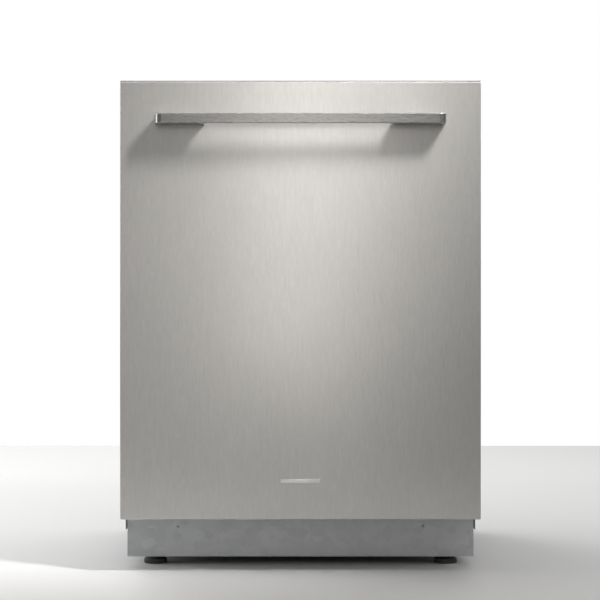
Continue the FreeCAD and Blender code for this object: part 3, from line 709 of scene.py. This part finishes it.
def salt_cap_knob():
    low, high, centre, radius = upright("salt_cap")
    rim = high.z - 3.5 * MM
    bm = bmesh.new()
    lathe(bm, [(0, low.z), (26 * MM, low.z), (26 * MM, rim - 6 * MM), (radius, rim - 5.6 * MM),
               (radius, rim - MM), (radius - 1.2 * MM, rim), (radius - 6 * MM, rim - 0.8 * MM),
               (0, rim - 0.4 * MM)], centre, Z, 48)
    for n in range(24):
        angle = n * math.pi / 12
        at = centre + Vector((math.cos(angle), math.sin(angle), 0)) * (radius - 0.8 * MM)
        rod(bm, at + Z * (rim - 5.4 * MM), at + Z * (rim - 1.2 * MM), 0.8 * MM, 8)
    block(bm, (centre.x - 22 * MM, centre.y - 3.4 * MM, rim - 1.5 * MM),
          (centre.x + 22 * MM, centre.y + 3.4 * MM, high.z), 1.3 * MM, 3)
    piece("salt_cap_knob", bm, "salt_cap", LID_PLASTIC, 35, ["salt_cap"])


# ---- racks ----
def rack_loop(half, y, z, front_z, corner=16 * MM):
    """A rim wire round the rack; its front run may sit lower."""
    slope_foot, slope_top = y[0] + 26 * MM, y[0] + 62 * MM
    points = [(0, y[1], z), (half, y[1], z), (half, slope_top, z), (half, slope_foot, front_z),
              (half, y[0], front_z), (-half, y[0], front_z), (-half, slope_foot, front_z),
              (-half, slope_top, z), (-half, y[1], z), (0, y[1], z)]
    return bent(points, corner)[:-1]


def basket(name, body, replaced, y, floor, rim, front_rim, pitch, levels):
    """Rims and crossing U-shaped wires of a rack, each wire bent from one length."""
    half = RACK_HALF - RIM_WIRE
    span = (y[0] + RIM_WIRE, y[1] - RIM_WIRE)
    rims = [rack_loop(half, span, rim - RIM_WIRE, front_rim - RIM_WIRE)]
    coated(name + "_rim", rims, RIM_WIRE, body, True)
    inner = half - RIM_WIRE - RACK_WIRE
    span_in = (span[0] + RIM_WIRE + RACK_WIRE, span[1] - RIM_WIRE - RACK_WIRE)
    low = floor + RACK_WIRE
    out = 1.5 * RACK_WIRE
    hoops = [rack_loop(inner + out, (span_in[0] - out, span_in[1] + out), z,
                       min(z, front_rim - 12 * MM), 14 * MM) for z in levels]
    coated(name + "_hoops", hoops, RACK_WIRE, body, True)
    lengths = []
    for x in spread(-inner + 12 * MM, inner - 12 * MM, pitch):
        lengths.append(bent([(x, span_in[0], front_rim - RIM_WIRE), (x, span_in[0], low),
                             (x, span_in[1], low), (x, span_in[1], rim - RIM_WIRE)], 11 * MM))
    for place in spread(span_in[0] + 14 * MM, span_in[1] - 14 * MM, pitch * 1.4):
        side = rim if place > span_in[0] + 50 * MM else front_rim
        ends, bed = side - RIM_WIRE, low + 2 * RACK_WIRE
        lengths.append(bent([(-inner, place, ends), (-inner, place, bed),
                             (inner, place, bed), (inner, place, ends)], 11 * MM))
    coated(name + "_wires", lengths, RACK_WIRE, body, False, replaced)


def rack_grip(name, body, y, z, half=95 * MM, tall=17 * MM):
    """A moulded grip clipped on the middle of a rack's front rim."""
    bm = bmesh.new()
    block(bm, (-half, y - 5 * MM, z - tall), (half, y + 5 * MM, z + 4 * MM), 3.2 * MM, 4)
    block(bm, (-half + 14 * MM, y - 6 * MM, z - tall + 5 * MM),
          (half - 14 * MM, y - 4 * MM, z - 2 * MM), 0.9 * MM, 3)
    piece(name, bm, body, GREY_PLASTIC)


def wheel(name):
    """A rack roller with a rounded tread, a dished web and a hub; its five holes are not cut but
    drawn as near-black plugs through the web: painted shade.
    """
    low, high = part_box(name)
    centre = (low + high) / 2
    radius = (high.z - low.z) / 2
    outward = 1 if centre.x > 0 else -1
    width = (high.x - low.x) / 2
    bm = bmesh.new()
    bore = 3.08 * MM
    section = [(bore, 1), (6.5 * MM, 1), (7 * MM, 0.5), (radius - 4.5 * MM, 0.4),
               (radius - 3.5 * MM, 1), (radius - 1.2 * MM, 1), (radius, 0.6)]
    profile = ([(r, -width * share) for r, share in section]
               + [(r, width * share) for r, share in reversed(section)])
    lathe(bm, profile + profile[:1], centre, X, 40)
    # Near-black plugs in the second finish stand in for the holes: painted shade seen through them.
    for n in range(5):
        angle = n * 2 * math.pi / 5
        at = centre + Vector((0, math.cos(angle), math.sin(angle))) * 10.2 * MM
        rod(bm, at - X * width * 0.46, at + X * width * 0.46, 2.3 * MM, 14, finish=1)
    piece(name + "_roller", bm, name, [WHEEL_PLASTIC, DARK_PLASTIC_AND_SHADE], 35, [name])
    bm = bmesh.new()
    inner = centre.x - outward * (width + 6 * MM)
    head, tip = (centre.x + outward * (width + far) for far in mm(0.4, 2))
    rod(bm, (inner, centre.y, centre.z), (tip, centre.y, centre.z), 3 * MM)
    rod(bm, (head, centre.y, centre.z), (tip, centre.y, centre.z), 5 * MM, 20)
    x = apart(outward, RACK_HALF - 3 * MM, RACK_HALF + 5 * MM)
    block(bm, (x[0], centre.y - 12 * MM, centre.z - 9 * MM), (x[1], centre.y + 12 * MM, 214 * MM),
          2.4 * MM, 3)
    piece(name + "_hanger", bm, "lower_rack", WHEEL_PLASTIC)


def tines(name):
    """A fold-down row: a bar in the rack's pivots and round-ended tines in pairs."""
    low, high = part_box(name)
    y, z = (low.y + high.y) / 2, low.z + 2 * MM
    bars = [[Vector((low.x, y, z)), Vector((high.x, y, z))]]
    coated(name + "_bar", bars, 2 * MM, name)
    rows = [[Vector((x, y, place)) for place in (z, high.z - 2 * MM, high.z - 0.6 * MM)]
            for x in spread(-210 * MM, 210 * MM, 30 * MM)]
    coated(name + "_tines", rows, 1.7 * MM, name, False, [name])
    bm = bmesh.new()
    for x in mm(-222, 222):
        block(bm, (x - 4 * MM, y - 5 * MM, z - 5.6 * MM),
              (x + 4 * MM, y + 5 * MM, z + 3.6 * MM), 1.4 * MM, 3)
    piece(name + "_pivots", bm, "lower_rack", GREY_PLASTIC)


def cup_shelf():
    """A small wire shelf on two pins, with the eyes on the rack that hold them."""
    low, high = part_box("cup_shelf")
    z = (low.z + high.z) / 2
    pin = 5 * MM
    front, back = low.y + pin + 2 * MM, high.y - pin - 2 * MM
    inner, hinge = low.x + 2 * MM, high.x - 1.8 * MM
    outer = bent([(hinge, 0, z), (hinge, back, z), (inner, back, z), (inner, front, z),
                  (hinge, front, z), (hinge, 0, z)], 8 * MM)[:-1]
    coated("cup_shelf_rim", [outer], 1.8 * MM, "cup_shelf", True)
    rungs = [[Vector((inner, y, z)), Vector((hinge, y, z))]
             for y in spread(front + 14 * MM, back - 14 * MM, 25 * MM)]
    coated("cup_shelf_rungs", rungs, 1.5 * MM, "cup_shelf", False, ["cup_shelf"])
    bm = bmesh.new()
    for y in (low.y, high.y):
        inward = pin + 9 * MM if y < 0 else -pin - 9 * MM
        rod(bm, (hinge, y, z), (hinge, y + inward, z), 1.5 * MM, 14)
    piece("cup_shelf_pins", bm, "cup_shelf", WIRE_COAT)
    bm = bmesh.new()
    for y in (low.y + 2 * MM, high.y - 2 * MM):
        block(bm, (hinge - 4 * MM, y - 2 * MM, z - 5 * MM),
              (RACK_HALF - 3 * MM, y + 2 * MM, z + 5 * MM), 0.8 * MM)
    piece("cup_shelf_eyes", bm, "upper_rack", GREY_PLASTIC)


def racks():
    low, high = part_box("lower_rack")
    basket("lower_rack", "lower_rack", ["lower_rack"], (low.y, high.y), 196 * MM, high.z,
           high.z - 20 * MM, 30 * MM, mm(222, 262))
    rack_grip("lower_rack_grip", "lower_rack", low.y + MM, high.z - 22 * MM)
    low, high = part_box("upper_rack")
    basket("upper_rack", "upper_rack", [], (low.y, high.y), 412 * MM, high.z, high.z - 15 * MM,
           28 * MM, mm(440, 490))
    rack_grip("upper_rack_grip", "upper_rack", low.y + MM, high.z - 17 * MM)
    low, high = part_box("cutlery_tray")
    basket("cutlery_tray", "cutlery_tray", [], (low.y, high.y), low.z, high.z, high.z,
           18 * MM, mm(710))
    rack_grip("cutlery_tray_grip", "cutlery_tray", low.y + MM, high.z - 2 * MM, 120 * MM)


def rack_carriers():
    """The runners on the upper rack and the cutlery tray, and the upper rack's spray hub."""
    for name, z, width in (("upper_rack", mm(444, 458), 257.7 * MM),
                           ("cutlery_tray", mm(703, 713), 263.7 * MM)):
        low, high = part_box(name)
        bm = bmesh.new()
        for side in (-1, 1):
            x = apart(side, RACK_HALF - MM, width)
            block(bm, (x[0], low.y + 8 * MM, z[0]), (x[1], high.y - 8 * MM, z[1]), 1.2 * MM, 3)
            for y in (low.y + 40 * MM, 0.5 * (low.y + high.y), high.y - 40 * MM):
                clip = apart(side, RACK_HALF - 6 * MM, RACK_HALF + MM)
                block(bm, (clip[0], y - 9 * MM, z[0] - 6 * MM),
                      (clip[1], y + 9 * MM, z[1] + 8 * MM), 2 * MM, 3)
        piece(name + "_runners", bm, name, GREY_PLASTIC, 35, [name])
    bm = bmesh.new()
    hub = (0, 399.5), (6, 399.5), (6, 408), (20, 408), (22, 410), (22, 416), (14, 420), (0, 420)
    lathe(bm, [mm(*point) for point in hub], (0, SPRAY_Y, 0), Z, 36)
    piece("upper_rack_spray_hub", bm, "upper_rack", GREY_PLASTIC)


# ---- casing ----
def screw(bm, at, axis, radius=4 * MM):
    """A domed cross-head screw; axis points out of the surface. Its cross recess is drawn as
    near-black bars standing on the head: painted shade.
    """
    at, axis = Vector(at), Vector(axis)
    lathe(bm, [(0, -3 * MM), (radius * 0.4, -3 * MM), (radius * 0.4, 0), (radius, 0),
               (radius * 0.9, radius * 0.35), (radius * 0.5, radius * 0.55), (0, radius * 0.6)],
          at, axis, 16)
    across = axis.orthogonal().normalized()
    # The cross recess is two near-black bars in the second finish: painted shade standing in for
    # the recess.
    for side in (across, axis.cross(across)):
        turn = Matrix.Identity(3)
        turn.col[0], turn.col[1], turn.col[2] = side, axis.cross(side), axis
        place = (Matrix.Translation(at + axis * radius * 0.56) @ turn.to_4x4()
                 @ Matrix.Diagonal((radius * 1.1, radius * 0.22, radius * 0.2, 1)))
        made = bmesh.ops.create_cube(bm, size=1, matrix=place)["verts"]
        for f in {f for v in made for f in v.link_faces}:
            f.material_index = 1


def casing_screws():
    bm = bmesh.new()
    for side in (-1, 1):
        x = side * SIDE_HIGH.x
        for z in mm(200, 420, 640, 790):
            screw(bm, (x, SIDE_HIGH.y - 12 * MM, z), (side, 0, 0), SCREW)
        for y, z in (mm(-190, 792), mm(60, 90), mm(-120, 90), mm(230, 90), mm(-150, 175)):
            screw(bm, (x, y, z), (side, 0, 0), SCREW)
        for z in mm(120, 400, 700, 792):
            screw(bm, (side * 291 * MM, SIDE_HIGH.y, z), (0, 1, 0), SCREW)
        screw(bm, (side * 250 * MM, -175 * MM, 812 * MM), (0, 0, 1), 3.2 * MM)
        screw(bm, (side * 210 * MM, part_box("kick_plate")[0].y, 65 * MM), (0, -1, 0), SCREW)
    # The second finish paints the cross recesses near black: painted shade.
    piece("casing_screws", bm, "root", [SCREW_STEEL, DARK_PLASTIC_AND_SHADE])
    bm = bmesh.new()
    for side in (-1, 1):
        for z in mm(180, 460, 760):
            screw(bm, (side * 268 * MM, LINER_HIGH.y, z), (0, 1, 0), SCREW)
        for z in mm(240, 400):
            screw(bm, (side * 289 * MM, HINGE.y, z), (side, 0, 0), 3.6 * MM)
    # The second finish paints the cross recesses near black: painted shade.
    piece("door_screws", bm, "door", [SCREW_STEEL, DARK_PLASTIC_AND_SHADE])


def side_beads():
    """Stiffening beads pressed into the side sheets."""
    for side, name in ((1, "right"), (-1, "left")):
        bm = bmesh.new()
        x = apart(side, SIDE_HIGH.x - 0.8 * MM, SIDE_HIGH.x + 1.4 * MM)
        for z in spread(230 * MM, 710 * MM, 80 * MM):
            block(bm, (x[0], -170 * MM, z), (x[1], 250 * MM, z + 15 * MM), 1.2 * MM, 3)
        piece("side_beads_" + name, bm, "root", GALVANISED)


def adjustable_foot(name):
    """A rubber-soled pad, a hexagon to turn it by, and its threaded stud."""
    high, centre, radius = upright(name)[1:]
    bm = bmesh.new()
    sole, pad, nut = mm(4, 9, 15)
    root, crest = mm(4.3, 5)
    lathe(bm, [(0, 0), (radius - MM, 0), (radius, MM), (radius, sole)], centre, Z, 40, 1)
    lathe(bm, [(radius, sole), (radius - 0.6 * MM, 7.6 * MM), (radius - 3 * MM, pad), (9 * MM, pad),
               (0, pad)], centre, Z, 40)
    rod(bm, centre + Z * pad, centre + Z * nut, 10 * MM, 6)
    profile = [(0, nut)]
    turns, pitch = 24, 2 * MM
    for n in range(turns):
        z = nut + n * pitch
        profile += [(root, z), (crest, z + MM)]
    profile += [(root, nut + turns * pitch), (4 * MM, high.z), (0, high.z)]
    lathe(bm, profile, centre, Z, 24, 2)
    piece(name + "_stand", bm, name, [DARK_PLASTIC_AND_SHADE, RUBBER, SCREW_STEEL], 35,
          [name])


def base_details():
    """Ribs on the outside of the base tray's sides and back, and a rail along its back."""
    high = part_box("base_tray")[1]
    wall = 277 * MM
    bm = bmesh.new()
    for side in (-1, 1):
        for y in spread(-30 * MM, high.y - 30 * MM, 46 * MM):
            x = apart(side, wall - 0.5 * MM, wall + 5 * MM)
            block(bm, (x[0], y - 1.5 * MM, 34 * MM), (x[1], y + 1.5 * MM, 148 * MM), 0.9 * MM)
    for x in spread(-240 * MM, 240 * MM, 48 * MM):
        if min(abs(x - 205 * MM), abs(x + 205 * MM), abs(x - 130 * MM)) > 18 * MM:
            block(bm, (x - 1.5 * MM, high.y - 0.5 * MM, 34 * MM),
                  (x + 1.5 * MM, high.y + 5 * MM, 148 * MM), 0.9 * MM)
    block(bm, (-wall, high.y - MM, 140 * MM), (wall, high.y + 6 * MM, 149 * MM), 1.5 * MM)
    piece("base_ribs", bm, "root", DARK_PLASTIC_AND_SHADE)


def sound_mats():
    """Felt mats that wrap the tub, quilted by their stitching."""
    boxes = {"top": ((-268, -148, 797), (268, 285, 807)),
             "back": ((-262, 286.5, 170), (262, 297, 790)),
             "left": ((-281, -180, 175), (-272.5, 280, 772)),
             "right": ((272.5, -180, 175), (281, 280, 772))}
    for side, (low, high) in boxes.items():
        low, high = Vector(low) * MM, Vector(high) * MM
        size = high - low
        thin = min(range(3), key=lambda i: size[i])
        flat = [i for i in range(3) if i != thin]
        bm = bmesh.new()
        block(bm, low, high)
        for i in flat:
            for place in spread(low[i], high[i], 27 * MM)[1:-1]:
                normal = Vector((0, 0, 0))
                normal[i] = 1
                bmesh.ops.bisect_plane(bm, geom=list(bm.verts) + list(bm.edges) + list(bm.faces),
                                       plane_co=normal * place, plane_no=normal, dist=1e-7)
        middle = (low[thin] + high[thin]) / 2
        for v in bm.verts:
            cell = [math.sin(math.pi * (v.co[i] - low[i]) / (108 * MM)) ** 2 for i in flat]
            edge = min(min(v.co[i] - low[i], high[i] - v.co[i]) for i in flat)
            full = 0.55 + 0.45 * min(1, 1.6 * cell[0] * cell[1] + 0.35) if edge > MM else 0.3
            v.co[thin] = middle + (v.co[thin] - middle) * full
        made = piece("sound_mat_" + side, bm, "root", FELT, 80,
                     ["insulation_mats"] if side == "top" else [])
        smooth = made.modifiers.new("soft", "SUBSURF")
        smooth.levels = smooth.render_levels = 1


def door_spring_coils():
    """The balance springs beside the base, with their hooks."""
    low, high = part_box("door_springs")
    for side, name in ((-1, "left"), (1, "right")):
        x = side * 290.7 * MM
        coil_radius, hook, clearance = mm(4.6, 7, 14)
        front, back = Vector((x, low.y + 2 * MM, 111 * MM)), Vector((x, high.y - MM, 100 * MM))
        unit = (back - front).normalized()
        up = unit.cross(X).normalized()
        first, last = front + unit * clearance, back - unit * clearance
        turns, per_turn = 34, 12
        path = [front, front + unit * hook]
        for n in range(turns * per_turn + 1):
            angle = 2 * math.pi * n / per_turn
            path.append(first.lerp(last, n / (turns * per_turn))
                        + (X * math.cos(angle) + up * math.sin(angle)) * coil_radius)
        path += [back - unit * hook, back]
        coil = wires("door_spring_" + name, [path], 0.9 * MM, None, SPRING_STEEL,
                     False, ["door_springs"] if side < 0 else [])
        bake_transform(coil)


def hinge_details():
    """Pivot caps and rivets at the hinges."""
    bm = bmesh.new()
    for side in (-1, 1):
        x = side * 295.5 * MM
        cap = (0, -1), (7.5, -1), (7.5, 0.6), (6, 1.4), (0, 1.6)
        lathe(bm, [mm(*point) for point in cap], (x, HINGE.y, HINGE.z), (side, 0, 0), 28)
        for y in mm(-190, -140):
            rivet = (0, -1), (4, -1), (4, 0.2), (2.6, 1.2), (0, 1.4)
            lathe(bm, [mm(*point) for point in rivet], (x, y, HINGE.z), (side, 0, 0), 20)
    piece("hinge_rivets", bm, "root", SCREW_STEEL)


def spigot_rings():
    """Thread turns on the inlet and barbs on the drain outlet."""
    bm = bmesh.new()
    for n in range(8):
        y = 285 * MM + n * 2.3 * MM
        lathe(bm, [(12.6 * MM, y), (13.2 * MM, y + 0.2 * MM), (13.9 * MM, y + MM),
                   (13.2 * MM, y + 1.8 * MM), (12.6 * MM, y + 2 * MM)],
              mm(-205, 0, 82), Y, 32)
    piece("inlet_thread", bm, "root", PUMP_PLASTIC)
    bm = bmesh.new()
    for n in range(3):
        y = 286 * MM + n * 5.4 * MM
        lathe(bm, [(10 * MM, y), (11.3 * MM, y), (10.6 * MM, y + 4.6 * MM),
                   (10 * MM, y + 4.6 * MM)], mm(205, 0, 92), Y, 32)
    piece("drain_barbs", bm, "root", PUMP_PLASTIC)


badge()
display_window()
for key in ("power_button", "program_button", "start_button"):
    button(key)
liner_beads()
dispenser_parts()
bulb_seal()
tub_beads()
spray_arm("lower_spray_arm", 40 * MM, 15)
spray_arm("upper_spray_arm", 36 * MM, 13)
spray_arm("top_spray_arm", 32 * MM, 9, 22 * MM)
filter_cup()
salt_cap_knob()
racks()
rack_carriers()
for end in ("front", "rear"):
    for side in ("left", "right"):
        wheel("wheel_%s_%s" % (end, side))
    tines("fold_tines_" + end)
cup_shelf()
casing_screws()
side_beads()
for foot in ("foot_front_left", "foot_front_right", "foot_rear"):
    adjustable_foot(foot)
base_details()
sound_mats()
door_spring_coils()
hinge_details()
spigot_rings()


# ---- floor, light and camera ----
def floor():
    """A sheet of white studio paper under the machine."""
    finish = Finish("studio_paper")
    patch = finish.cloud(0.8)
    paint = finish.done(finish.colour(patch, (0.68, 0.68, 0.68), (0.70, 0.70, 0.70)),
                        finish.value(patch, 0.6, 0.7))
    sheet_half, sheet_front, sheet_back = 2.6, -1.25, 2.2
    bm = bmesh.new()
    block(bm, (-sheet_half, sheet_front, -2 * MM), (sheet_half, sheet_back, 0))
    made = meshed("floor", bm)
    made.data.materials.append(paint)


def world_light():
    """White behind the machine; in its reflections, a room dark low down and light above."""
    world = bpy.data.worlds.new("studio")
    bpy.context.scene.world = world
    world.use_nodes = True
    tree = world.node_tree
    out = tree.nodes["World Output"]
    seen = tree.nodes["Background"]
    feed(tree, seen, {"Color": (1, 1, 1, 1), "Strength": 1.0})
    where = node(tree, "ShaderNodeTexCoord")
    split = feed(tree, node(tree, "ShaderNodeSeparateXYZ"), {"Vector": where.outputs["Generated"]})
    height = feed(tree, node(tree, "ShaderNodeMapRange"),
                  {"Value": split.outputs["Z"], "From Min": -1.0})
    ramp = feed(tree, node(tree, "ShaderNodeValToRGB"), {"Fac": height.outputs["Result"]})
    points = ramp.color_ramp.elements
    points[0].position, points[1].position = 0.36, 0.85
    points[0].color, points[1].color = (0.07, 0.07, 0.07, 1), (0.6, 0.595, 0.585, 1)
    for place, tone in ((0.5, 0.15), (0.58, 0.22)):
        points.new(place).color = (tone, tone * 0.985, tone * 0.965, 1)
    soft = feed(tree, node(tree, "ShaderNodeBackground"), {"Color": ramp.outputs["Color"]})
    path = node(tree, "ShaderNodeLightPath")
    mix = feed(tree, node(tree, "ShaderNodeMixShader"), {"Fac": path.outputs["Is Camera Ray"]})
    tree.links.new(soft.outputs["Background"], mix.inputs[1])
    tree.links.new(seen.outputs["Background"], mix.inputs[2])
    tree.links.new(mix.outputs["Shader"], out.inputs["Surface"])


def area_light(name, place, target, size, power, colour=(1, 1, 1), spread_angle=180):
    data = bpy.data.lights.new(name, "AREA")
    data.shape = "RECTANGLE"
    data.size, data.size_y = size
    data.energy = power
    data.color = colour
    data.spread = math.radians(spread_angle)
    made = placed(name, data)
    made.location = place
    made.rotation_euler = (Vector(target) - Vector(place)).to_track_quat("-Z", "Y").to_euler()


def lights():
    middle = Vector((0, PANEL_LOW.y, 0.45))
    area_light("band_light", (0, -3.6, 0.95), middle, (0.08, 1.7), 3.9, (1, 0.975, 0.94))
    area_light("key_light", (0.75, -0.95, 1.8), (0.03, PANEL_LOW.y, 0.80), (0.2, 0.5), 2.5,
               (1, 0.985, 0.97), 34)
    area_light("top_light", (0, 1.7, 2.8), (0, 1.2, 0), (3.4, 2.6), 50)
    area_light("back_light", (-1.6, 2.4, 1.9), (0, 0.3, 0.2), (1.6, 1.6), 30)
    area_light("left_light", (-2.4, 0.0, 1.2), (-0.3, 0.1, 0.5), (1.2, 1.6), 14)


def camera():
    data = bpy.data.cameras.new("camera")
    distance, frame_width = 2.8, 0.9906
    aside, eye_height = -0.0008, 0.4527
    data.sensor_width = 36
    data.lens = 36 * distance / frame_width
    made = placed("camera", data)
    made.location = (aside, PANEL_LOW.y - distance, eye_height)
    made.rotation_euler = (math.pi / 2, 0, 0)
    bpy.context.scene.camera = made


floor()
world_light()
lights()
camera()
bpy.context.scene.view_settings.view_transform = "Standard"
